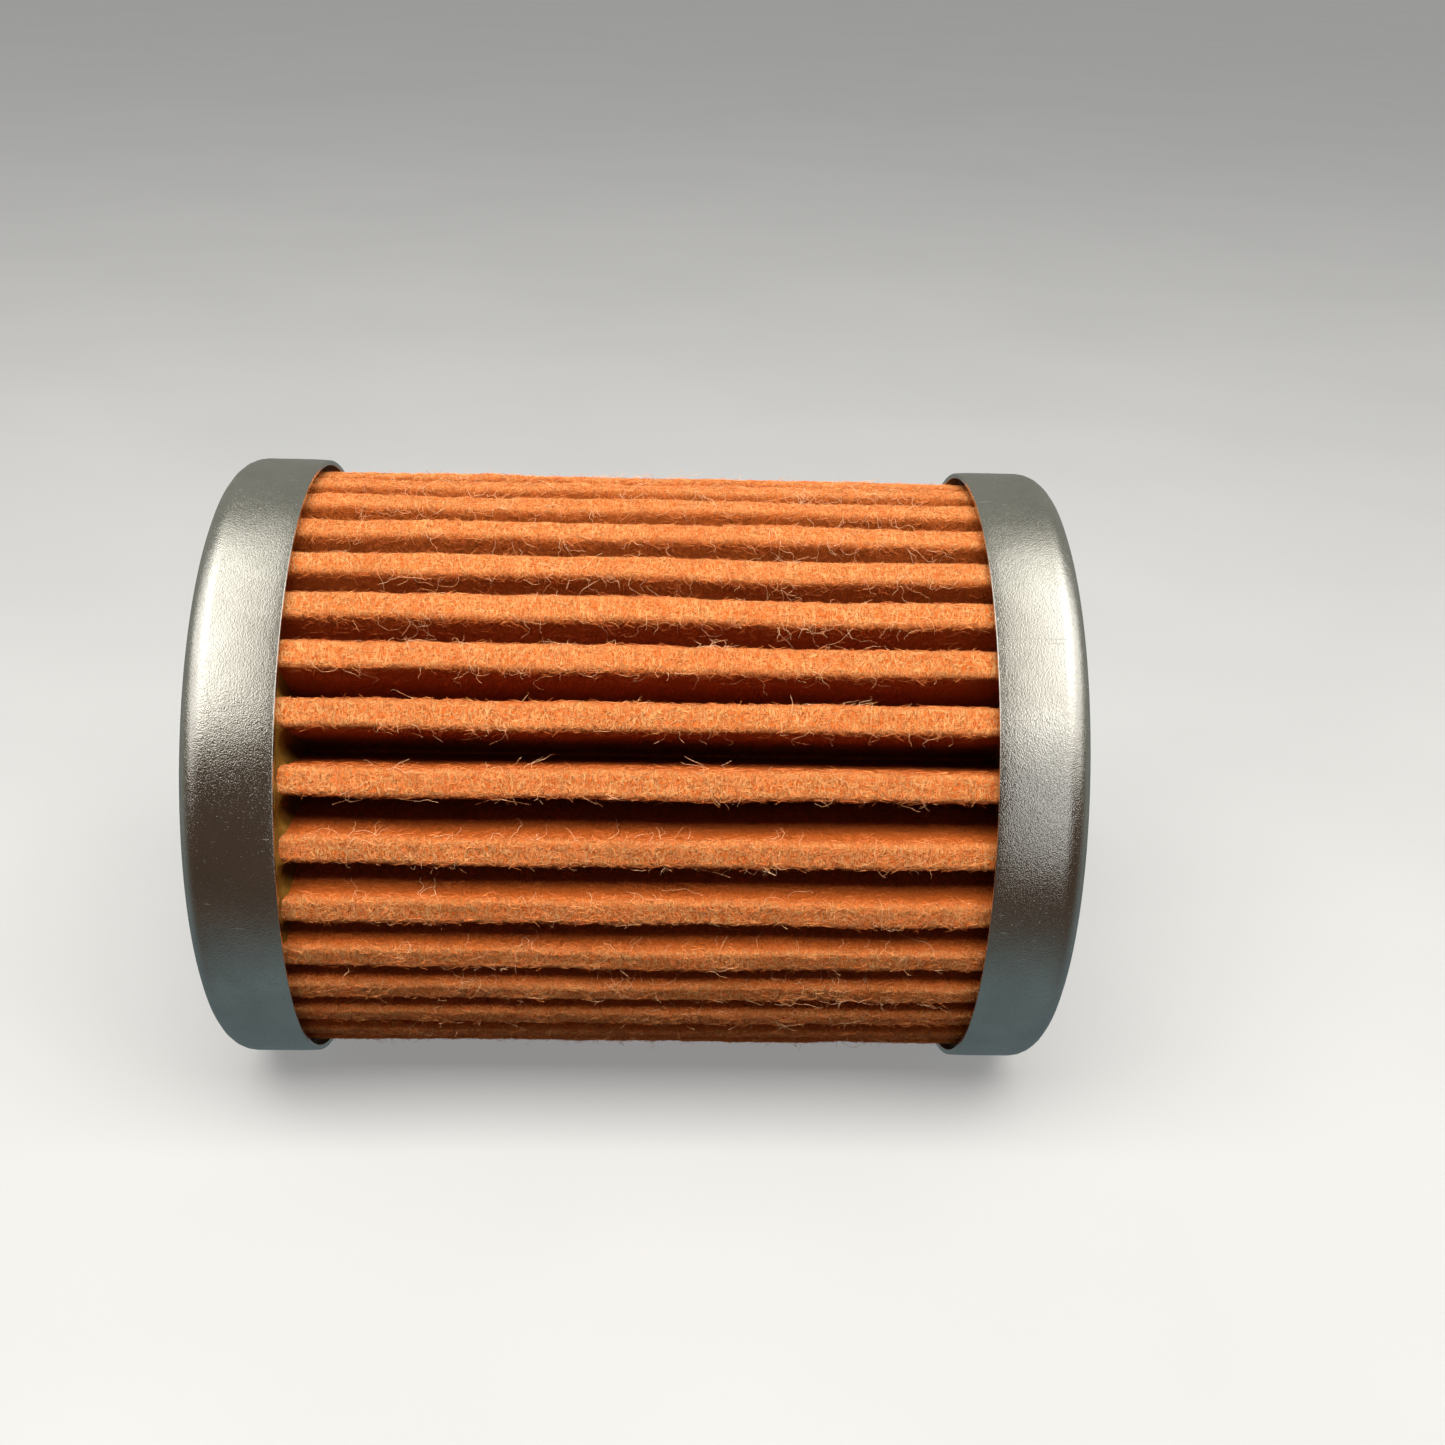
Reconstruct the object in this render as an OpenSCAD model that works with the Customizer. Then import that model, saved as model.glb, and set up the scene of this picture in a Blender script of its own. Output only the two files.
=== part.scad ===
// Cartridge fuel filter element, lying on its side.
// The axis of the filter is X, +Z is up, and the origin is the middle of the element.

/* [Overall] */
// Outer diameter of the two end caps
cap_d = 42; // [40:0.5:46]
// Length over both end caps
overall_l = 56.2; // [50:0.1:90]
// Distance between the rims of the two caps
rim_gap = 44.2; // [38:0.1:46]

/* [End caps] */
// Thickness of the pressed sheet
sheet_t = 0.35; // [0.25:0.05:0.5]
// Outside radius of the drawn corner
corner_r = 1.8; // [1:0.1:2.5]
// Diameter of the sunk seat round the hole
seat_d = 24; // [20:0.5:28]
// Depth of the sunk seat
seat_depth = 1; // [0.8:0.1:1.4]
// Diameter of the hole in the cap
hole_d = 13; // [12:0.1:13.4]
// Length of the collar turned inwards round the hole
collar_l = 2.2; // [1.6:0.1:2.6]

/* [Grommets] */
// Bore that seals on the filter head's spigot
bore_d = 9.5; // [8:0.1:10]
// Outside diameter of the flange in the sunk seat
flange_d = 17.6; // [15:0.1:19]
// Thickness of that flange
flange_t = 0.85; // [0.6:0.05:0.95]
// Outside diameter of the lip behind the collar
lip_d = 14.6; // [14.2:0.1:15]
// Thickness of that lip
lip_t = 1; // [0.6:0.1:1.4]
// Lead-in chamfer at both ends of the bore
lead_in = 0.4; // [0.2:0.05:0.6]

/* [Core tube] */
// Outside diameter of the perforated tube
core_d = 16.8; // [16.2:0.1:17]
// Wall of the perforated tube
core_t = 0.4; // [0.3:0.05:0.5]
// Diameter of each perforation
perf_d = 3; // [2:0.1:3.2]
// Columns of perforations round the tube
perf_columns = 10; // [6:2:10]
// Perforations in each column
perf_rows = 8; // [4:1:8]
// Distance between perforations along the tube
perf_pitch = 5.2; // [4:0.1:5.4]
// Width of the flattened lock seam inside the tube
lock_w = 2.2; // [1.6:0.1:2.4]

/* [Pleated media] */
// Number of pleats
pleats = 34; // [30:2:34]
// Thickness of the felt sheet
felt_t = 0.6; // [0.4:0.05:0.65]
// Gap between the pleat tips and the skirt of a cap
tip_gap = 0.5; // [0.3:0.05:0.8]
// Width across the outside of a pleat
fold_w = 2.05; // [1.8:0.05:2.2]
// Outside radius of the two corners of a fold
fold_corner_r = 0.55; // [0.4:0.05:0.65]
// Gap between the core tube and the inner folds
core_gap = 0.3; // [0.1:0.05:0.5]
// How far the end of the media stands back from the face of a cap
media_inset = 1.8; // [1.7:0.1:2.4]
// Slow part of the uneven pleat spacing, in degrees
spread_slow = 2.3; // [0:0.1:2.6]
// Quick part of the uneven pleat spacing, in degrees
spread_quick = 0.6; // [0:0.1:0.8]
// Angle above the front where the pleats stand widest apart
spread_centre = 15.3; // [-180:0.1:180]

/* [Side seam] */
// Number of the pleat that holds the seam, counted up from the widest gap
seam_pleat = 17; // [15:1:18]
// Thickness of the clip's sheet
clip_t = 0.3; // [0.2:0.05:0.35]
// Length of the clip's legs
clip_leg = 3.5; // [2.5:0.1:4]

/* [Potting] */
// Depth of the adhesive in the left cap, from its face
fill_left = 6.4; // [4.5:0.1:7]
// Depth of the adhesive in the right cap, from its face
fill_right = 5.4; // [4.5:0.1:7]

/* [Hidden] */

$fn = 96;
past = 1;
cap_r = cap_d / 2;
skirt_l = (overall_l - rim_gap) / 2;
seat_r = seat_d / 2;
hole_r = hole_d / 2;
bore_r = bore_d / 2;
core_r = core_d / 2;
seat_back = seat_depth + sheet_t;

tip_r = cap_r - sheet_t - tip_gap;
media_l = overall_l - 2 * media_inset;
core_l = overall_l - 2 * seat_back;
half_t = felt_t / 2;
pleat_pitch = 360 / pleats;
root_in_r = core_r + core_gap;
root_fold_r = 0.4;
root_centre_r = root_in_r + root_fold_r + half_t;
corner_steps = 3;
root_steps = 4;
fin_tip_r = tip_r - clip_t - 0.2;
seam_notch_r = root_centre_r + 2;

// Where pleat k stands, as an angle up from the front, before and after the uneven spacing
function even_angle(k) = (k + 0.5) * pleat_pitch;
function above_front(k) = spread_centre + even_angle(k)
    + spread_slow * sin(3 * even_angle(k)) + spread_quick * sin(6 * even_angle(k));
// The same place as an angle in the (Y, Z) section, where the front is -Y
function pleat_angle(k) = 180 - above_front(k);
function root_angle(k) = (pleat_angle(k) + pleat_angle(k - 1)) / 2;

// A point given along a radius at an angle and across it
function on_radius(angle, along, across) = [
    along * cos(angle) - across * sin(angle),
    along * sin(angle) + across * cos(angle)
];

// One side of the felt round a pleat's outer fold: two round corners with a flat between them.
// inset is 0 on the outside of the sheet and the sheet's thickness on the inside.
function tip_points(angle, inset) =
    let (r = max(fold_corner_r - inset, 0.1), along = tip_r - inset - r, across = fold_w / 2 - inset - r)
    [for (side = [-1, 1], i = [0 : corner_steps])
        let (turn = (side < 0 ? -90 + 90 * i / corner_steps : 90 * i / corner_steps))
        on_radius(angle, along + r * cos(turn), side * across + r * sin(turn))];

// One side of the felt round an inner fold, which is a plain half circle of radius r
function root_points(angle, r) = [for (i = [0 : root_steps])
    let (turn = -90 - 180 * i / root_steps)
    on_radius(angle, root_centre_r + r * cos(turn), r * sin(turn))];

// The seam replaces one outer fold: a flat double fin outside, and a plain notch inside
function fin_points(angle) = [
    on_radius(angle, fin_tip_r, -felt_t),
    on_radius(angle, fin_tip_r, felt_t)
];
function notch_points(angle) = [on_radius(angle, seam_notch_r, 0)];

// The whole outline runs with falling angle, so each list is read backwards
function backwards(list) = [for (i = [len(list) - 1 : -1 : 0]) list[i]];
function outline(inset) = [for (k = [0 : pleats - 1])
    for (p = concat(
        backwards(root_points(root_angle(k), root_fold_r + (inset > 0 ? half_t : -half_t))),
        backwards(k != seam_pleat ? tip_points(pleat_angle(k), inset)
            : inset > 0 ? notch_points(pleat_angle(k)) : fin_points(pleat_angle(k)))
    )) p];

// Turns a section in (Y, Z) into a solid along X, centred on the origin
module along_axis(length) rotate([90, 0, 90]) linear_extrude(height = length, center = true) children();

// Turns a half section (radius, depth from the cap's face) about X, at the left end or the right end
module at_left() translate([-overall_l / 2, 0, 0]) rotate([0, 90, 0]) rotate_extrude() children();
module at_right() mirror([1, 0, 0]) at_left() children();

module media_section() difference() {
    polygon(outline(0));
    polygon(outline(felt_t));
}

module clip_section() rotate(pleat_angle(seam_pleat)) difference() {
    translate([fin_tip_r + clip_t - clip_leg, -felt_t - clip_t])
        square([clip_leg, 2 * (felt_t + clip_t)]);
    translate([fin_tip_r - clip_leg - past, -felt_t])
        square([clip_leg + past, 2 * felt_t]);
}

// A filled half section from the axis out to r, with a round outer corner at its face
module rounded_disc(r, face, corner, top) {
    translate([0, face]) square([r - corner, top - face]);
    translate([0, face + corner]) square([r, top - face - corner]);
    translate([r - corner, face + corner]) circle(r = corner);
}

// The space inside a cap, behind the sheet and the sunk seat, up to a given depth
module cap_inside(top) difference() {
    rounded_disc(cap_r - sheet_t, sheet_t, corner_r - sheet_t, top);
    square([seat_r + sheet_t, seat_back]);
}

module cap_profile() {
    difference() {
        rounded_disc(cap_r, 0, corner_r, skirt_l);
        square([seat_r, seat_depth]);
        cap_inside(skirt_l + past);
        square([hole_r, skirt_l]);
    }
    translate([hole_r, seat_depth]) square([sheet_t, collar_l]);
}

module end_cap() color("silver") children();
module end_cap_left() end_cap() at_left() cap_profile();
module end_cap_right() end_cap() at_right() cap_profile();

// The adhesive fills a cap outside the core tube, between and round the pleats
module potting_profile(fill) difference() {
    cap_inside(fill);
    square([core_r, fill]);
}

module pleat_pack() along_axis(media_l) {
    media_section();
    clip_section();
}

module potting_left() color("goldenrod") difference() {
    at_left() potting_profile(fill_left);
    pleat_pack();
}

module potting_right() color("goldenrod") difference() {
    at_right() potting_profile(fill_right);
    pleat_pack();
}

module pleated_media() color("chocolate") along_axis(media_l) media_section();

module seam_clip() color("gainsboro") along_axis(media_l) clip_section();

// The inside of the core tube, less the folded lock seam that stands in from its back
module core_inside() difference() {
    rotate([0, 90, 0]) cylinder(h = core_l + past, r = core_r - core_t, center = true);
    translate([0, core_r - core_t * 1.5, 0]) cube([core_l, core_t, lock_w], center = true);
}

// Neighbouring columns are half a pitch apart, and the lock seam runs between two of them
module perforations() {
    for (column = [0 : perf_columns - 1], row = [0 : perf_rows - 1])
        translate([(row - (perf_rows - 1) / 2 + (column % 2 - 0.5) / 2) * perf_pitch, 0, 0])
            rotate([(column + 0.5) * 360 / perf_columns, 0, 0])
                translate([0, core_r, 0])
                    rotate([90, 0, 0])
                        cylinder(h = core_r / 2, d = perf_d, center = true);
}

module core_tube() color("lightgray") difference() {
    rotate([0, 90, 0]) cylinder(h = core_l, r = core_r, center = true);
    core_inside();
    perforations();
}

// Half section of the chamfer that opens the bore at one end
module lead_in_cone(end, depth) polygon([
    [0, end],
    [bore_r + lead_in, end],
    [bore_r, end + depth],
    [0, end + depth]
]);

module grommet_profile() {
    inner_end = seat_depth + collar_l + lip_t;
    outer_end = seat_depth - flange_t;
    difference() {
        union() {
            translate([0, outer_end]) square([hole_r, inner_end - outer_end]);
            translate([0, outer_end]) square([flange_d / 2, flange_t]);
            translate([0, seat_depth + collar_l]) square([lip_d / 2, lip_t]);
        }
        square([bore_r, inner_end + past]);
        lead_in_cone(outer_end, lead_in);
        lead_in_cone(inner_end, -lead_in);
    }
}

module grommet_left() color("dimgray") at_left() grommet_profile();
module grommet_right() color("dimgray") at_right() grommet_profile();

end_cap_left();
end_cap_right();
potting_left();
potting_right();
pleated_media();
seam_clip();
core_tube();
grommet_left();
grommet_right();
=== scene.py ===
"""Looks of a cartridge fuel filter element lying on its side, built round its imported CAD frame."""

import math
import random

import bmesh
import bpy
from mathutils import Matrix, Vector, noise


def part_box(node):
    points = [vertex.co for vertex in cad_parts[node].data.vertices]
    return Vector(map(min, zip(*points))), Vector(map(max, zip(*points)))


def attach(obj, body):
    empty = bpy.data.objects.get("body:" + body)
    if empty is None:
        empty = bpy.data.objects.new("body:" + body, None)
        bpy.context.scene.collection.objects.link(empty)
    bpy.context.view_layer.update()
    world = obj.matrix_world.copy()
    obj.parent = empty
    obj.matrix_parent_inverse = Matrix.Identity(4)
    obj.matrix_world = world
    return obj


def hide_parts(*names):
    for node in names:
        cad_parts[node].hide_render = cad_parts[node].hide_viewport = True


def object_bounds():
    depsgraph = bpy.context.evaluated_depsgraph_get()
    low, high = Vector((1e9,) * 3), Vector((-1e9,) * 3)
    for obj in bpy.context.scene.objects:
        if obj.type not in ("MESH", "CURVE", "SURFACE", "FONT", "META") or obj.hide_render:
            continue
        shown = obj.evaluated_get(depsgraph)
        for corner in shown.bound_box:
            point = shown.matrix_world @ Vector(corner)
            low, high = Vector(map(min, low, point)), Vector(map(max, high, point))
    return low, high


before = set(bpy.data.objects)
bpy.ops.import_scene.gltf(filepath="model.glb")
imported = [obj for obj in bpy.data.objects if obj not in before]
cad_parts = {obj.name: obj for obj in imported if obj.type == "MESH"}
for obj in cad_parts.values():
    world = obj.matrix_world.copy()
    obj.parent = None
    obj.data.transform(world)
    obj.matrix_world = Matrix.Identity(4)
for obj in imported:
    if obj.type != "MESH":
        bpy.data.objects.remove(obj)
cad_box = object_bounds()

# ---------------------------------------------------------------- sizes, in metres

MM = 0.001
BODY = "root"
CLEARANCE = 0.01 * MM

# End caps: pressed sheet, with a seat and a collared hole in the face.
cap_low, cap_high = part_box("end_cap_left")
CAP_R = cap_high.z
FACE_X = -cap_low.x
RIM_X = -cap_high.x
SHEET = 0.35 * MM
CORNER_R = 1.8 * MM
SEAT_R = 12 * MM
SEAT_DEPTH = 1 * MM
HOLE_R = 6.5 * MM
COLLAR = 2.2 * MM
RIM_DRAW = 0.05 * MM
DRAW_LENGTH = 1.2 * MM

# Grommets.
BORE_R = 4.75 * MM
FLANGE_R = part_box("grommet_left")[1].z
FLANGE = 0.85 * MM
FLANGE_STEP = 0.25 * MM
LIP_R = 7.3 * MM
LIP = 1 * MM

CORE_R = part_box("core_tube")[1].z

# Felt: the sheet, its folds at the tips and roots, and the strip over its seam.
PLEATS = 34
SHEET_MAP = "flat_sheet"
SEAM_PLEAT = 17
FELT = 0.6 * MM
MEDIA_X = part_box("pleated_media")[1].x
TIP_R = 20.15 * MM
FOLD_HALF_W = 0.94 * MM
FOLD_CORNER = 0.14 * MM
FOLD_OUTER = FOLD_CORNER + FELT / 2
FACE_HALF = FOLD_HALF_W - FOLD_OUTER
ROOT_FOLD = 0.4 * MM
ROOT_CENTRE = CORE_R + 0.3 * MM + ROOT_FOLD + FELT / 2
ROOT_HALF_W = 0.7 * MM
CLIP = 0.3 * MM
CLIP_LEG = 3.5 * MM
FIN_TIP = TIP_R - CLIP - 0.2 * MM

# Seed of the felt's wander, how far it wanders, and over what distances.
WANDER_SEED = 5
SWAY = 0.16 * MM
SWAY_LENGTH = 11 * MM
SWAY_WIDTH = 3.6 * MM
LUMPS = 0.08 * MM
LUMP_SIZE = 1.6 * MM
NEAR_CAP = 6 * MM

# How close to felt and to metal the adhesive creeps up, how high at metal, and where its pool lies.
FELT_CREEP_REACH = 0.4 * MM
METAL_CREEP_REACH = 0.3 * MM
METAL_CREEP = 0.3
TIP_FADE = 0.5 * MM
POOL_ANGLE = math.radians(14)
POOL_SPREAD = math.radians(31)

# Crimps along the seam strip, and the share of its width that each takes in.
CRIMP_PITCH = 3.2 * MM
CRIMP_DEPTH = 0.12

# Fibres in one piece of nap, how deep each starts in the felt, and the radii of short and long ones.
NAP_FIBRES = 9800
WALL_FIBRES = 9000
SUNK = 0.01 * MM
NAP_R = 0.015 * MM
LINT_R = 0.0135 * MM
LINT_CLUMPS = 1450

LIGHT_AWAY = 0.36
FLOOR_HALF = 3.0

# Where the camera is, and in degrees how far it turns aside, looks down and rolls.
CAMERA_PLACE = (0.55 * MM, -116.7 * MM, 57.4 * MM)
CAMERA_ASIDE = -2.59
CAMERA_DOWN = 24.98
CAMERA_ROLL = 1.96

# Uneven spacing of the pleats.
SPREAD_CENTRE = math.radians(15.3)
SPREAD_SLOW = math.radians(2.3)
SPREAD_QUICK = math.radians(0.6)


def pleat_angle(k):
    """Angle of pleat k above the front, with the uneven spacing of the pack."""
    even = (k + 0.5) * math.tau / PLEATS
    return SPREAD_CENTRE + even + SPREAD_SLOW * math.sin(3 * even) + SPREAD_QUICK * math.sin(6 * even)


def at_angle(x, angle, along, across=0.0):
    """Point a distance along the radius at an angle above the front, and across towards the next pleat."""
    return Vector((
        x,
        across * math.sin(angle) - along * math.cos(angle),
        along * math.sin(angle) + across * math.cos(angle),
    ))


def up_the_pleat(r):
    """How far up a pleat a radius is, from 0 at the root to 1 at the tip."""
    return min(max((r - ROOT_CENTRE) / (TIP_R - ROOT_CENTRE), 0), 1)


# ---------------------------------------------------------------- making pieces


def finish_piece(name, mesh, material, slot, *nodes):
    """Links a mesh as a finished piece on the one body, standing for its CAD nodes."""
    piece = bpy.data.objects.new(name, mesh)
    bpy.context.scene.collection.objects.link(piece)
    mesh.materials.append(material)
    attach(piece, BODY)
    if nodes:
        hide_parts(*nodes)
    return piece


def to_mesh(name, bm, smooth_below=35):
    """Closes a bmesh off as a mesh, smooth except where faces meet more sharply than an angle."""
    bmesh.ops.remove_doubles(bm, verts=bm.verts, dist=1e-7)
    bmesh.ops.recalc_face_normals(bm, faces=bm.faces)
    for face in bm.faces:
        face.smooth = True
    for edge in bm.edges:
        edge.smooth = edge.calc_face_angle(0) < math.radians(smooth_below)
    mesh = bpy.data.meshes.new(name)
    bm.to_mesh(mesh)
    bm.free()
    return mesh


def lathe(corners, steps=240):
    """Spins a closed half section about X. A corner is (x, radius, width of its round)."""
    bm = bmesh.new()
    verts = [bm.verts.new((x, 0, r)) for x, r, _ in corners]
    edges = [bm.edges.new(pair) for pair in zip(verts, verts[1:] + verts[:1])]
    bmesh.ops.spin(bm, geom=verts + edges, cent=(0, 0, 0), axis=(1, 0, 0),
                   angle=math.tau, steps=steps, use_merge=True)
    for x, r, width in corners:
        if not width:
            continue
        ring = [e for e in bm.edges if all(
            abs(v.co.x - x) < 1e-6 and abs(math.hypot(v.co.y, v.co.z) - r) < 1e-6 for v in e.verts)]
        bmesh.ops.bevel(bm, geom=ring, offset=width, segments=6, profile=0.5,
                        affect="EDGES", material=-1, clamp_overlap=False)
    return bm


# ---------------------------------------------------------------- materials


class Finish:
    """A material with one Principled shader, and short calls that add pattern nodes to it."""

    def __init__(self, name, **sockets):
        self.material = bpy.data.materials.new(name)
        self.material.use_nodes = True
        self.nodes = self.material.node_tree.nodes
        self.shader = self.nodes["Principled BSDF"]
        self.coords = self.nodes.new("ShaderNodeTexCoord").outputs["Object"]
        for socket, value in sockets.items():
            self.shader.inputs[socket.replace("_", " ")].default_value = value

    def join(self, source, target):
        self.material.node_tree.links.new(source, target)

    def add(self, kind, **inputs):
        """A node whose inputs are set from numbers, colours or other nodes' outputs."""
        node = self.nodes.new("ShaderNode" + kind)
        for key, value in inputs.items():
            socket = node.inputs[key.replace("_", " ")]
            if isinstance(value, bpy.types.NodeSocket):
                self.join(value, socket)
            else:
                socket.default_value = value
        return node

    def named_map(self, name):
        node = self.add("UVMap")
        node.uv_map = name
        return node.outputs["UV"]

    def attribute(self, name):
        node = self.add("Attribute")
        node.attribute_name = name
        return node.outputs["Fac"]

    def stretched(self, scale, turn=0.0, coords=None, shift=0.0):
        """The object's coordinates, or others, in millimetres: scaled, turned and shifted."""
        mapping = self.add("Mapping", Vector=coords or self.coords, Rotation=(0, 0, turn))
        mapping.inputs["Scale"].default_value = [s / MM for s in scale]
        mapping.inputs["Location"].default_value = (shift, shift, shift)
        return mapping.outputs["Vector"]

    def noise(self, scale, detail=3.0, roughness=0.5, distortion=0.0, **place):
        node = self.add("TexNoise", Vector=self.stretched(scale, **place), Scale=1.0, Detail=detail,
                        Roughness=roughness, Distortion=distortion)
        return node.outputs["Fac"]

    def strands(self, scale, width, **place):
        """Thin winding lines, as matted fibres make."""
        return self.ramp(self.noise(scale, detail=1.0, distortion=0.6, **place),
                         (0.5 - width, 0.0), (0.5, 1.0), (0.5 + width, 0.0))

    def ramp(self, value, *stops):
        """A colour or grey that follows a value through (place, colour) stops."""
        node = self.add("ValToRGB", Fac=value)
        elements = node.color_ramp.elements
        while len(elements) < len(stops):
            elements.new(1.0)
        for element, (place, colour) in zip(elements, stops):
            element.position = place
            element.color = (*colour, 1) if isinstance(colour, tuple) else (colour, colour, colour, 1)
        return node.outputs["Color"]

    def blend(self, amount, a, b, mode="MIX"):
        node = self.nodes.new("ShaderNodeMix")
        node.data_type = "RGBA"
        node.blend_type = mode
        for socket, value in zip((node.inputs[0], node.inputs[6], node.inputs[7]), (amount, a, b)):
            if isinstance(value, bpy.types.NodeSocket):
                self.join(value, socket)
            else:
                socket.default_value = (*value, 1) if isinstance(value, tuple) else value
        return node.outputs[2]

    def sum(self, a, b, operation="ADD"):
        node = self.nodes.new("ShaderNodeMath")
        node.operation = operation
        for socket, value in zip(node.inputs, (a, b)):
            if isinstance(value, bpy.types.NodeSocket):
                self.join(value, socket)
            else:
                socket.default_value = value
        return node.outputs[0]

    def relief(self, height, depth, under=None):
        """Bump of a depth in metres, over another bump."""
        node = self.add("Bump", Height=height, Strength=1.0, Distance=depth)
        if under is not None:
            self.join(under, node.inputs["Normal"])
        return node.outputs["Normal"]

    def set(self, **sockets):
        for socket, value in sockets.items():
            self.join(value, self.shader.inputs[socket.replace("_", " ")])
        return self.material


def plated_steel():
    """Bright zinc plate on pressed sheet: fine sparkling grain, soft stains, a few fine scratches."""
    f = Finish("plated_steel", Metallic=1.0)
    grain = f.noise((12, 12, 12), detail=1.0, roughness=0.6)
    coarse = f.noise((6, 6, 6), detail=2.0, roughness=0.7)
    specks = f.ramp(f.noise((8, 8, 8), detail=0.0), (0.73, 0.0), (0.81, 1.0))
    swell = f.noise((0.8, 0.8, 0.8), detail=1.0)
    stain = f.noise((0.25, 0.25, 0.25), detail=4.0, distortion=0.4)
    scratch = f.ramp(f.noise((0.55, 9, 9), detail=0.0), (0.79, 0.0), (0.82, 1.0))
    scratch = f.sum(scratch, f.ramp(stain, (0.5, 0.0), (0.54, 1.0)), "MULTIPLY")
    colour = f.ramp(stain, (0.3, (0.6, 0.59, 0.54)), (0.65, (0.71, 0.7, 0.65)))
    colour = f.blend(f.ramp(coarse, (0.35, 0.22), (0.5, 0.0)), colour, (0.44, 0.43, 0.39))
    rough = f.ramp(stain, (0.3, 0.2), (0.7, 0.15))
    rough = f.blend(scratch, rough, (0.35, 0.35, 0.35))
    bump = f.relief(swell, 0.01 * MM)
    bump = f.relief(grain, 0.014 * MM, bump)
    bump = f.relief(coarse, 0.014 * MM, bump)
    bump = f.relief(f.sum(specks, scratch), 0.006 * MM, bump)
    return f.set(Base_Color=colour, Roughness=rough, Normal=bump)


def core_steel(name):
    """Tinned strip: duller than the caps, with rolling lines along the filter."""
    f = Finish(name, Metallic=1.0)
    lines = f.noise((0.4, 8, 8), detail=2.0)
    stain = f.noise((0.5, 0.5, 0.5))
    colour = f.ramp(stain, (0.3, (0.42, 0.41, 0.39)), (0.7, (0.6, 0.59, 0.56)))
    rough = f.ramp(lines, (0.3, 0.3), (0.7, 0.45))
    return f.set(Base_Color=colour, Roughness=rough, Normal=f.relief(lines, 0.01 * MM))


def felt():
    """Resin-treated orange felt. Its fibres follow the sheet: it is deep orange in the walls, and paler and
    fuzzier on the outside of the folds. The darker walls are partly the felt's own colour and partly painted
    shade; the paler outside is partly pale fuzz and partly painted light. Its low spots carry painted shade,
    and a painted highlight runs along the fold corners."""
    f = Finish("orange_felt", Roughness=0.95, Specular_IOR_Level=0.12)
    sheet = f.named_map(SHEET_MAP)
    tone = f.noise((0.25, 0.35, 0.35), detail=4.0, roughness=0.6)
    matted = f.noise((3.6, 4.0, 1), detail=5.0, roughness=0.75, distortion=0.6, coords=sheet)
    fine = f.noise((12, 5, 1), detail=3.0, roughness=0.7, distortion=1.2,
                   turn=0.3, coords=sheet, shift=90.0)
    runs = [f.strands((0.9, 3.8, 1), 0.035, turn=0.25, coords=sheet),
            f.strands((4.2, 1.2, 1), 0.045, turn=-0.35, coords=sheet, shift=30.0),
            f.strands((3.8, 1.2, 1), 0.045, turn=0.5, coords=sheet, shift=60.0)]
    strands = f.blend(1.0, f.blend(1.0, runs[0], runs[1], "LIGHTEN"), runs[2], "LIGHTEN")
    height = f.blend(0.35, f.ramp(matted, (0.3, 0.0), (0.7, 1.0)), f.ramp(fine, (0.3, 0.0), (0.7, 1.0)))
    # Painted shade: darker spots in the low places of the fine texture.
    pit_shade = f.ramp(fine, (0.32, 0.3), (0.45, 0.0))
    # Walls: deep orange, partly the felt's own colour and partly painted shade deep between the folds.
    wall = f.ramp(matted, (0.35, (0.47, 0.085, 0.012)), (0.65, (0.7, 0.155, 0.026)))
    wall = f.blend(f.sum(strands, 0.15, "MULTIPLY"), wall, (0.86, 0.27, 0.06))
    # Outside of the folds: paler, partly pale fuzz and partly painted light where the folds face the lamps.
    face = f.ramp(matted, (0.38, (0.6, 0.11, 0.016)), (0.5, (0.83, 0.185, 0.033)),
                  (0.62, (0.98, 0.28, 0.062)))
    face = f.blend(f.sum(strands, 0.95, "MULTIPLY"), face, (1.0, 0.54, 0.22))
    face = f.blend(pit_shade, face, (0.42, 0.065, 0.01))
    # Painted highlight: a paler line along the fold corners, where the light catches them.
    face = f.blend(f.sum(f.attribute("crease"), 0.3, "MULTIPLY"), face, (1.0, 0.45, 0.16))
    colour = f.blend(f.attribute("outside"), wall, face)
    colour = f.blend(f.ramp(tone, (0.35, 0.0), (0.7, 0.3)), colour, (0.7, 0.16, 0.025))
    bump = f.relief(height, 0.19 * MM)
    bump = f.relief(strands, 0.08 * MM, bump)
    return f.set(Base_Color=colour, Normal=bump)


def lint(name, pale, warm):
    """Loose fibres of the felt, each a little paler or warmer along its length."""
    f = Finish(name, Roughness=0.7, Sheen_Weight=0.2, Specular_IOR_Level=0.25)
    colour = f.ramp(f.noise((0.9, 0.9, 0.9), detail=2.0), (0.35, warm), (0.65, pale))
    bump = f.relief(f.noise((20, 20, 20)), 0.004 * MM)
    return f.set(Base_Color=colour, Normal=bump)


def amber_potting():
    """Cured adhesive: glossy amber that lets a little light in."""
    f = Finish("amber_potting", Roughness=0.3, Subsurface_Weight=0.25)
    f.shader.inputs["Subsurface Radius"].default_value = (1.0 * MM, 0.5 * MM, 0.15 * MM)
    f.shader.inputs["Subsurface Scale"].default_value = 1.0
    cloud = f.noise((0.6, 0.6, 0.6), detail=4.0)
    colour = f.ramp(cloud, (0.3, (0.13, 0.058, 0.008)), (0.7, (0.24, 0.12, 0.02)))
    return f.set(Base_Color=colour, Normal=f.relief(f.noise((1.5, 1.5, 1.5)), 0.08 * MM))


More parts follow.
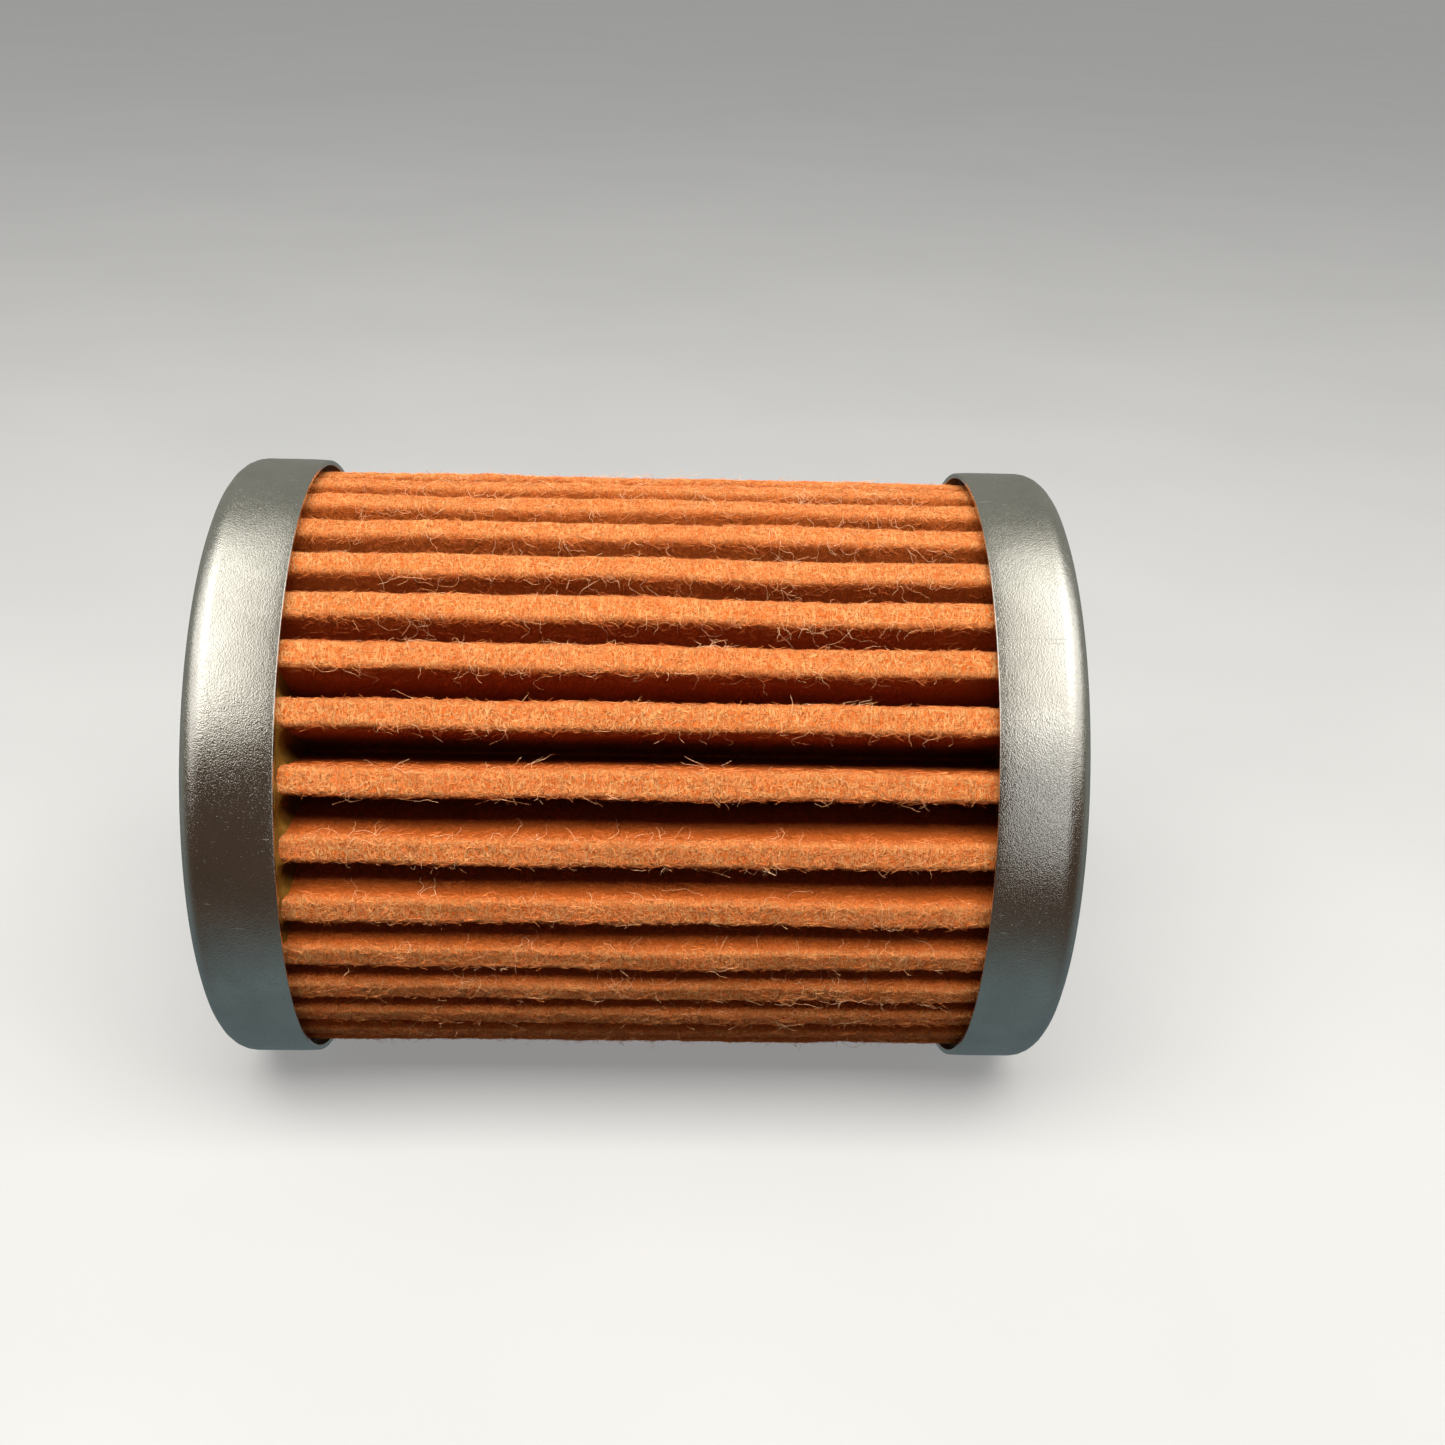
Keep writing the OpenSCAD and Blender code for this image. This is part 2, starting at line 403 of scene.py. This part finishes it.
def nitrile():
    """Moulded black rubber with a dusty bloom."""
    f = Finish("nitrile_rubber", Specular_IOR_Level=0.4)
    bloom = f.noise((0.9, 0.9, 0.9), detail=5.0, roughness=0.65)
    colour = f.ramp(bloom, (0.35, (0.012, 0.012, 0.013)), (0.75, (0.05, 0.05, 0.048)))
    rough = f.ramp(bloom, (0.3, 0.45), (0.7, 0.68))
    return f.set(Base_Color=colour, Roughness=rough, Normal=f.relief(f.noise((9, 9, 9)), 0.012 * MM))


def floor_finish():
    """Plain pale studio floor with a faint glow, which keeps it even from front to back."""
    f = Finish("studio_floor", Roughness=0.75, Specular_IOR_Level=0.2)
    f.shader.inputs["Emission Color"].default_value = (0.98, 0.99, 1.0, 1.0)
    f.shader.inputs["Emission Strength"].default_value = 0.26
    colour = f.ramp(f.noise((0.02, 0.02, 0.02)), (0.3, (0.31, 0.315, 0.32)), (0.7, (0.34, 0.345, 0.35)))
    return f.set(Base_Color=colour)


# ---------------------------------------------------------------- end caps and grommets


def end_cap(name, side, material):
    """Pressed steel cup with a drawn corner, a sunk seat and a collar turned in round its hole."""
    face, rim = FACE_X, RIM_X
    inner_face = face - SHEET
    seat, seat_back = face - SEAT_DEPTH, face - SEAT_DEPTH - SHEET
    corners = [
        (rim, CAP_R - RIM_DRAW, 0.08 * MM),
        (rim + 0.6 * MM, CAP_R - 0.3 * RIM_DRAW, 0),
        (rim + DRAW_LENGTH, CAP_R, 0),
        (face, CAP_R, CORNER_R),
        (face, SEAT_R, 0.3 * MM),
        (seat, SEAT_R, 0.12 * MM),
        (seat, HOLE_R, 0.25 * MM),
        (seat - COLLAR, HOLE_R, 0.05 * MM),
        (seat - COLLAR, HOLE_R + SHEET, 0.05 * MM),
        (seat_back, HOLE_R + SHEET, 0.1 * MM),
        (seat_back, SEAT_R + SHEET, 0.3 * MM),
        (inner_face, SEAT_R + SHEET, 0.1 * MM),
        (inner_face, CAP_R - SHEET, CORNER_R - SHEET),
        (rim + DRAW_LENGTH, CAP_R - SHEET, 0),
        (rim, CAP_R - SHEET - RIM_DRAW, 0.05 * MM),
    ]
    bm = lathe([(side * x, r, width) for x, r, width in corners])
    return finish_piece(f"{name}_shell", to_mesh(name, bm), material, "plated_steel", name)


def grommet(name, side, material):
    """Rubber ring with a flange in the seat, a lip behind the collar and a bead round its flange."""
    seat = FACE_X - SEAT_DEPTH
    collar_end = seat - COLLAR
    corners = [
        (seat + FLANGE, BORE_R, 0.35 * MM),
        (seat + FLANGE, BORE_R + 1.4 * MM, 0.15 * MM),
        (seat + FLANGE - FLANGE_STEP, BORE_R + 1.7 * MM, 0.1 * MM),
        (seat + FLANGE - FLANGE_STEP, FLANGE_R, 0.25 * MM),
        (seat, FLANGE_R, 0.05 * MM),
        (seat, HOLE_R, 0),
        (collar_end, HOLE_R, 0),
        (collar_end, LIP_R, 0.2 * MM),
        (collar_end - LIP, LIP_R - 0.3 * MM, 0.2 * MM),
        (collar_end - LIP, BORE_R, 0.35 * MM),
    ]
    bm = lathe([(side * x, r, width) for x, r, width in corners], steps=144)
    return finish_piece(f"{name}_ring", to_mesh(name, bm), material, "nitrile_rubber", name)


# ---------------------------------------------------------------- felt


def felt_shift(point):
    """How far the felt wanders from its ideal fold, most at the pleat tips and least in the potting."""
    r = math.hypot(point.y, point.z)
    loose = up_the_pleat(r)
    free = min(1, max(0, (RIM_X - abs(point.x)) / NEAR_CAP) + 0.35)
    sway = noise.noise_vector(Vector((point.x / SWAY_LENGTH, point.y / SWAY_WIDTH, point.z / SWAY_WIDTH)))
    lumps = noise.noise_vector(point / LUMP_SIZE)
    shift = sway * (SWAY * loose * free) + lumps * (LUMPS * loose)
    shift.x = 0
    return shift


def felt_path():
    """The folded middle line of the felt from one end of the seam round to the other: for each point its
    angle, along, across, how far it is on the outside of a fold, and how far it is in a crease."""
    half = FELT / 2
    flat = FOLD_HALF_W - half - FOLD_CORNER
    tip_along = TIP_R - half - FOLD_CORNER
    root_turns = [math.radians(-90 - 180 * i / 4) for i in range(5)]
    corner_turns = [math.radians(90 * i / 3) for i in range(4)]
    corner_outside = (0.15, 0.5, 0.9, 1.0)
    corner_crease = (0.2, 0.6, 1.0, 0.6)
    seam_across = half + CLEARANCE
    below = (tip_along - 0.25 * MM, tip_along - 1.1 * MM)

    def tip(k):
        angle = pleat_angle(k)
        rising = [(angle, along, -flat - FOLD_CORNER, 0.0, 0.0) for along in reversed(below)]
        for t, share, sharp in zip(corner_turns, corner_outside, corner_crease):
            along = tip_along + FOLD_CORNER * math.sin(t)
            rising.append((angle, along, -flat - FOLD_CORNER * math.cos(t), share, sharp))
        rising.append((angle, TIP_R - half, -flat * 0.8, 1.0, 0.0))
        falling = [(angle, along, -across, share, sharp)
                   for _, along, across, share, sharp in reversed(rising)]
        return rising + falling

    def root(k):
        angle = (pleat_angle(k) + pleat_angle(k + 1)) / 2
        return [(angle, ROOT_CENTRE + ROOT_FOLD * math.cos(t), ROOT_FOLD * math.sin(t), 0.0, 0.0)
                for t in root_turns]

    path = [(pleat_angle(SEAM_PLEAT), FIN_TIP, seam_across, 0.0, 0.0)]
    for k in range(SEAM_PLEAT, SEAM_PLEAT + PLEATS - 1):
        path += root(k) + tip(k + 1)
    path += root(SEAM_PLEAT + PLEATS - 1)
    path.append((pleat_angle(SEAM_PLEAT + PLEATS), FIN_TIP, -seam_across, 0.0, 0.0))
    return path


def pleated_felt(material):
    """One folded sheet, drawn out along the filter and then let wander. Each point knows how far along
    the flat sheet it is, how far it is on the outside of a fold, and how far it is in a crease."""
    rings = 64
    bm = bmesh.new()
    run, outside, crease = (bm.verts.layers.float.new(name) for name in ("run", "outside", "crease"))
    verts = []
    for angle, along, across, share, sharp in felt_path():
        vert = bm.verts.new(at_angle(-MEDIA_X, angle, along, across))
        if verts:
            turned = FOLD_OUTER / FOLD_CORNER if sharp and verts[-1][crease] else 1.0
            vert[run] = verts[-1][run] + (vert.co - verts[-1].co).length * turned
        vert[outside] = share
        vert[crease] = sharp
        verts.append(vert)
    edges = [bm.edges.new(pair) for pair in zip(verts, verts[1:])]
    for _ in range(rings):
        drawn = bmesh.ops.extrude_edge_only(bm, edges=edges)["geom"]
        edges = [e for e in drawn if isinstance(e, bmesh.types.BMEdge)]
        moved = [v for v in drawn if isinstance(v, bmesh.types.BMVert)]
        bmesh.ops.translate(bm, verts=moved, vec=(2 * MEDIA_X / rings, 0, 0))
    sheet_map = bm.loops.layers.uv.new(SHEET_MAP)
    for face in bm.faces:
        for loop in face.loops:
            loop[sheet_map].uv = (loop.vert.co.x, loop.vert[run])
    for vert in bm.verts:
        vert.co += felt_shift(vert.co)
    piece = finish_piece("pleated_felt", to_mesh("pleated_felt", bm, 180), material, "felt_media",
                         "pleated_media")
    sheet = piece.modifiers.new("sheet", "SOLIDIFY")
    sheet.thickness = FELT
    sheet.offset = 0
    return piece


def strand_mesh(name, curve):
    """The bundle's splines as one mesh of fine closed tubes."""
    bundle = bpy.data.objects.new(name, curve)
    bpy.context.scene.collection.objects.link(bundle)
    shown = bundle.evaluated_get(bpy.context.evaluated_depsgraph_get())
    mesh = bpy.data.meshes.new_from_object(shown)
    bpy.data.objects.remove(bundle)
    return mesh


def over_fold(x, angle, around, lift):
    """Point a distance round the outside of a pleat from the middle of its face, and lifted off the felt."""
    past = abs(around) - FACE_HALF
    turn = min(max(past / FOLD_OUTER, 0), math.pi / 2)
    down = max(past - FOLD_OUTER * math.pi / 2, 0)
    reach = FOLD_OUTER + lift
    across = min(abs(around), FACE_HALF) + reach * math.sin(turn)
    along = TIP_R - FOLD_OUTER + reach * math.cos(turn) - down
    place = at_angle(x, angle, along, math.copysign(across, around))
    return place + felt_shift(place)


def new_bundle(name, radius):
    """A curve whose splines are round strands."""
    curve = bpy.data.curves.new(name, "CURVE")
    curve.dimensions = "3D"
    curve.bevel_depth = radius
    curve.bevel_resolution = 0
    curve.use_fill_caps = True
    return curve


def add_fibre(curve, draw, pleat, start, heading, length, lift, curl, points):
    """One strand that starts at a place (x, around) on a fold and wanders over it as its end lifts off."""
    x, around = start
    angle = pleat_angle(pleat)
    spline = curve.splines.new("POLY")
    spline.points.add(points - 1)
    step = length / (points - 1)
    for i, point in enumerate(spline.points):
        share = i / (points - 1)
        point.co = (*over_fold(x, angle, around, lift * share - SUNK), 1)
        point.radius = 1.0 - 0.4 * share
        x += math.cos(heading) * step
        around += math.sin(heading) * step
        heading += draw.gauss(0, curl)


def any_pleat(draw):
    """A pleat other than the one that the seam strip covers."""
    return (SEAM_PLEAT + draw.randint(1, PLEATS - 1)) % PLEATS


def nap(name, material, count, seed, band, rises, slope):
    """Short fibres that lie in a band round the outside of each fold, at about a slope to its length."""
    draw = random.Random(seed)
    curve = new_bundle(name, NAP_R)
    for _ in range(count):
        length = draw.uniform(0.3, 0.9) * MM
        x = draw.uniform(-1, 1) * (RIM_X - length)
        around = draw.choice((-1, 1)) * draw.uniform(*band)
        lift = draw.uniform(*rises) * (3 if draw.random() < 0.12 else 1)
        heading = draw.choice((-1, 1)) * slope + draw.gauss(0, 0.5) + draw.choice((0, math.pi))
        add_fibre(curve, draw, any_pleat(draw), (x, around), heading, length, lift, 0.4, 3)
    return finish_piece(name, strand_mesh(name, curve), material, "felt_media")


def loose_lint(name, material, clumps, seed):
    """Long curly fibres that hang from the corners of the folds, alone and in clumps."""
    draw = random.Random(seed)
    curve = new_bundle(name, LINT_R)
    for _ in range(clumps):
        pleat = any_pleat(draw)
        middle = draw.uniform(-1, 1) * (RIM_X - 3 * MM)
        side = draw.choice((-1, -1, 1))
        for _ in range(draw.choice((1, 1, 1, 1, 2, 3))):
            x = middle + draw.gauss(0, 0.7) * MM
            around = side * (FACE_HALF + draw.uniform(0.1, 0.8) * MM)
            heading = draw.choice((side * math.pi / 2, side * 0.3)) + draw.gauss(0, 0.8)
            length = draw.uniform(0.6, 1.8) ** 2 * MM
            lift = draw.uniform(0.12, 0.7) * MM
            add_fibre(curve, draw, pleat, (x, around), heading, length, lift, 0.6, 11)
    return finish_piece(name, strand_mesh(name, curve), material, "felt_media")


# ---------------------------------------------------------------- potting and seam clip


def potting_rise(r, angle):
    """Share of its full height that the adhesive creeps up at a place: most against the felt, less against
    the skirt and core."""
    nearest = min(range(PLEATS), key=lambda k: abs(math.remainder(angle - pleat_angle(k), math.tau)))
    across = abs(r * math.sin(angle - pleat_angle(nearest)))
    outside = ROOT_HALF_W + up_the_pleat(r) * (FOLD_HALF_W - ROOT_HALF_W)
    to_felt = max(across - outside, outside - FELT - across, 0, r - TIP_R)
    to_metal = min(CAP_R - SHEET - r, r - CORE_R)
    up_felt = math.exp(-to_felt / FELT_CREEP_REACH)
    return up_felt + METAL_CREEP * math.exp(-max(to_metal, 0) / METAL_CREEP_REACH)


def potting(name, side, level, creep, pool, material):
    """Ring of adhesive in a cap, with a finely divided surface that creeps up what it touches and a
    higher pool where it ran to one side."""
    inner, outer = CORE_R + CLEARANCE, CAP_R - SHEET - RIM_DRAW - CLEARANCE
    back = FACE_X - SEAT_DEPTH - SHEET - CLEARANCE
    top = FACE_X - level
    rows = 26
    surface = [(top, inner + (outer - inner) * i / rows, 0) for i in range(rows + 1)]
    bm = lathe([(back, inner, 0)] + surface + [(back, outer - 0.2 * MM, 0)], steps=680)
    for vert in bm.verts:
        if abs(vert.co.x - top) > 1e-7:
            continue
        r = math.hypot(vert.co.y, vert.co.z)
        angle = math.atan2(vert.co.z, -vert.co.y)
        from_pool = math.remainder(angle - POOL_ANGLE, math.tau) / POOL_SPREAD
        behind_fold = 1 - 0.75 * min(1, max(0, (r - TIP_R + TIP_FADE) / TIP_FADE))
        vert.co.x -= creep * potting_rise(r, angle) * behind_fold + pool * math.exp(-from_pool ** 4)
    bmesh.ops.scale(bm, vec=(side, 1, 1), verts=bm.verts)
    return finish_piece(f"{name}_bed", to_mesh(name, bm), material, "potting", name)


def seam_clip(material):
    """Folded strip over the two ends of the felt, crimped along both legs."""
    angle = pleat_angle(SEAM_PLEAT)
    outer, inner = FELT + CLIP, FELT + CLEARANCE
    top, foot = FIN_TIP + CLIP, FIN_TIP + CLIP - CLIP_LEG
    section = [(foot, -outer), (top, -outer), (top, outer), (foot, outer),
               (foot, inner), (top - CLIP, inner), (top - CLIP, -inner), (foot, -inner)]
    bm = bmesh.new()
    verts = [bm.verts.new((-MEDIA_X, across, along)) for along, across in section]
    face = bm.faces.new(verts)
    rings = 105
    for _ in range(rings):
        drawn = bmesh.ops.extrude_face_region(bm, geom=[face])["geom"]
        face = next(g for g in drawn if isinstance(g, bmesh.types.BMFace))
        bmesh.ops.translate(bm, verts=face.verts, vec=(2 * MEDIA_X / rings, 0, 0))
    corners = [e for e in bm.edges if all(abs(v.co.z - top) < 1e-7 for v in e.verts)
               and abs(e.verts[0].co.y - e.verts[1].co.y) < 1e-7]
    bmesh.ops.bevel(bm, geom=corners, offset=0.28 * MM, segments=3, profile=0.5,
                    affect="EDGES", material=-1)
    for vert in bm.verts:
        crimp = max(0, math.cos(vert.co.x / CRIMP_PITCH * math.tau)) ** 6
        low = min(1, max(0, (top - vert.co.z) / CLIP_LEG - 0.35) * 3)
        vert.co.y *= 1 - CRIMP_DEPTH * crimp * low
    for vert in bm.verts:
        vert.co = at_angle(vert.co.x, angle, vert.co.z, vert.co.y)
        vert.co += felt_shift(vert.co) * 0.5
    return finish_piece("seam_strip", to_mesh("seam_strip", bm), material, "clip_steel", "seam_clip")


# ---------------------------------------------------------------- stage


def room_light():
    """World light: a pale room to look at, dim in front of the filter and brighter behind it."""
    world = bpy.data.worlds.new("room")
    world.use_nodes = True
    nodes, links = world.node_tree.nodes, world.node_tree.links
    coords = nodes.new("ShaderNodeTexCoord")
    split = nodes.new("ShaderNodeSeparateXYZ")
    links.new(coords.outputs["Generated"], split.inputs["Vector"])

    def fade(value, low, high, dark, light):
        """Goes from one colour to another as a direction's part goes from low to high."""
        span = nodes.new("ShaderNodeMapRange")
        span.inputs["From Min"].default_value = low
        span.inputs["From Max"].default_value = high
        links.new(value, span.inputs["Value"])
        mix = nodes.new("ShaderNodeMix")
        mix.data_type = "RGBA"
        links.new(span.outputs["Result"], mix.inputs[0])
        for socket, colour in zip((mix.inputs[6], mix.inputs[7]), (dark, light)):
            if isinstance(colour, tuple):
                socket.default_value = (*colour, 1)
            else:
                links.new(colour, socket)
        return mix.outputs[2]

    front = fade(split.outputs["Z"], -0.85, -0.6, (0.13, 0.17, 0.18), (0.075, 0.05, 0.035))
    back = fade(split.outputs["Z"], -0.6, -0.1, (0.12, 0.15, 0.16), (0.26, 0.26, 0.23))
    seen = fade(split.outputs["Y"], -0.15, 0.25, front, back)
    path = nodes.new("ShaderNodeLightPath")
    colour = fade(path.outputs["Is Camera Ray"], 0, 1, seen, (0.55, 0.56, 0.57))
    links.new(colour, nodes["Background"].inputs["Color"])
    bpy.context.scene.world = world


def build_stage():
    """Plain pale floor under soft light from above. The floor neither shows in the plating nor lights the
    filter; some lights only show in the plating, and some only light the rest."""
    floor_mesh = bpy.data.meshes.new("floor")
    bm = bmesh.new()
    bmesh.ops.create_grid(bm, x_segments=1, y_segments=1, size=FLOOR_HALF)
    bmesh.ops.translate(bm, verts=bm.verts, vec=(0, 0, cad_box[0][2]))
    bm.to_mesh(floor_mesh)
    bm.free()
    floor = bpy.data.objects.new("floor", floor_mesh)
    floor.visible_glossy = False
    floor.visible_diffuse = False
    bpy.context.scene.collection.objects.link(floor)
    floor_mesh.materials.append(floor_finish())
    key = softbox("key", 0, 63, size=(0.5, 0.24), power=3.65, colour=(1.0, 0.97, 0.9))
    key.visible_glossy = False
    for side, tag in ((-1, "left"), (1, "right")):
        panel = softbox(f"panel_{tag}", side * 28, 75, size=(0.23, 0.56), power=0.5,
                        colour=(1.0, 0.97, 0.9))
        panel.visible_diffuse = False
        window = softbox(f"window_{tag}", side * 52, 75, size=(0.34, 0.38), power=0.43,
                         colour=(1.0, 0.98, 0.95))
        window.visible_diffuse = False
    front = softbox("front", 0, 14, size=(0.4, 0.24), power=0.15, colour=(1.0, 0.66, 0.36))
    front.visible_glossy = False
    fill = softbox("fill", 24, 16, size=(0.14, 0.3), power=0.1, colour=(0.95, 0.98, 1.0))
    fill.visible_diffuse = False


def softbox(name, aside, rise, size, power, colour):
    """A soft rectangular light that faces the filter, at angles above its front and aside of its middle."""
    light = bpy.data.lights.new(name, "AREA")
    light.shape = "RECTANGLE"
    light.size, light.size_y = size
    light.energy = power
    light.color = colour
    lamp = bpy.data.objects.new(name, light)
    turn = Matrix.Rotation(-math.radians(rise), 4, "X") @ Matrix.Rotation(math.radians(aside), 4, "Z")
    place = Matrix.Translation((0, -LIGHT_AWAY, 0))
    lamp.matrix_world = turn @ place @ Matrix.Rotation(math.radians(90), 4, "X")
    bpy.context.scene.collection.objects.link(lamp)
    return lamp


def aim_camera():
    """Looks down on the front of the filter, a little from its left and turned a little."""
    camera = bpy.data.cameras.new("camera")
    camera.lens = 44.6
    camera.sensor_width = 36
    camera.clip_start = 0.01
    lens = bpy.data.objects.new("camera", camera)
    turn = Matrix.Rotation(math.radians(CAMERA_ASIDE), 4, "Z")
    tip = Matrix.Rotation(math.radians(90 - CAMERA_DOWN), 4, "X")
    roll = Matrix.Rotation(math.radians(CAMERA_ROLL), 4, "Z")
    lens.matrix_world = Matrix.Translation(CAMERA_PLACE) @ turn @ tip @ roll
    bpy.context.scene.collection.objects.link(lens)
    bpy.context.scene.camera = lens


# ---------------------------------------------------------------- the filter

noise.seed_set(WANDER_SEED)
aim_camera()
room_light()
build_stage()
bpy.context.scene.view_settings.view_transform = "Standard"

steel = plated_steel()
rubber = nitrile()
adhesive = amber_potting()
for end, side in (("left", -1), ("right", 1)):
    end_cap(f"end_cap_{end}", side, steel)
    grommet(f"grommet_{end}", side, rubber)
potting("potting_left", -1, 4.6 * MM, 0.6 * MM, 1.35 * MM, adhesive)
potting("potting_right", 1, 4.4 * MM, 0.4 * MM, 0.3 * MM, adhesive)

pleated_felt(felt())
nap_fibre = lint("nap_fibre", (0.97, 0.42, 0.14), (0.8, 0.22, 0.05))
# Darker fibres for the edges, fringe and walls: partly the felt's deeper colour and partly painted shade
# deep in the folds.
deep_shaded_fibre = lint("deep_shaded_fibre", (0.8, 0.24, 0.06), (0.55, 0.12, 0.02))
corner = (FACE_HALF - 0.05 * MM, FACE_HALF + 0.75 * MM)
nap("felt_nap_faces", nap_fibre, NAP_FIBRES, 11, (0, FACE_HALF), (0.01 * MM, 0.05 * MM), 1.1)
nap("felt_nap_fuzz", nap_fibre, NAP_FIBRES, 15, (0, FACE_HALF + 0.2 * MM), (0.01 * MM, 0.06 * MM), 0.6)
nap("felt_nap_corners", nap_fibre, NAP_FIBRES, 12, corner, (0.03 * MM, 0.11 * MM), 0.5)
nap("felt_nap_edges", deep_shaded_fibre, NAP_FIBRES, 14, corner, (0.03 * MM, 0.11 * MM), 0.5)
fringe = (FACE_HALF + 0.3 * MM, FACE_HALF + 1.0 * MM)
nap("felt_nap_fringe", deep_shaded_fibre, NAP_FIBRES, 16, fringe, (0.02 * MM, 0.11 * MM), 0.35)
wall = (FACE_HALF + 0.5 * MM, FACE_HALF + 2.5 * MM)
nap("felt_nap_walls", deep_shaded_fibre, WALL_FIBRES, 13, wall, (0.02 * MM, 0.1 * MM), 0.3)
lint_fibre = lint("lint_fibre", (0.98, 0.64, 0.38), (0.78, 0.34, 0.13))
loose_lint("loose_lint", lint_fibre, LINT_CLUMPS, 23)
seam_clip(core_steel("clip_steel"))
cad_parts["core_tube"].data.materials.clear()
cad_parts["core_tube"].data.materials.append(core_steel("core_steel"))
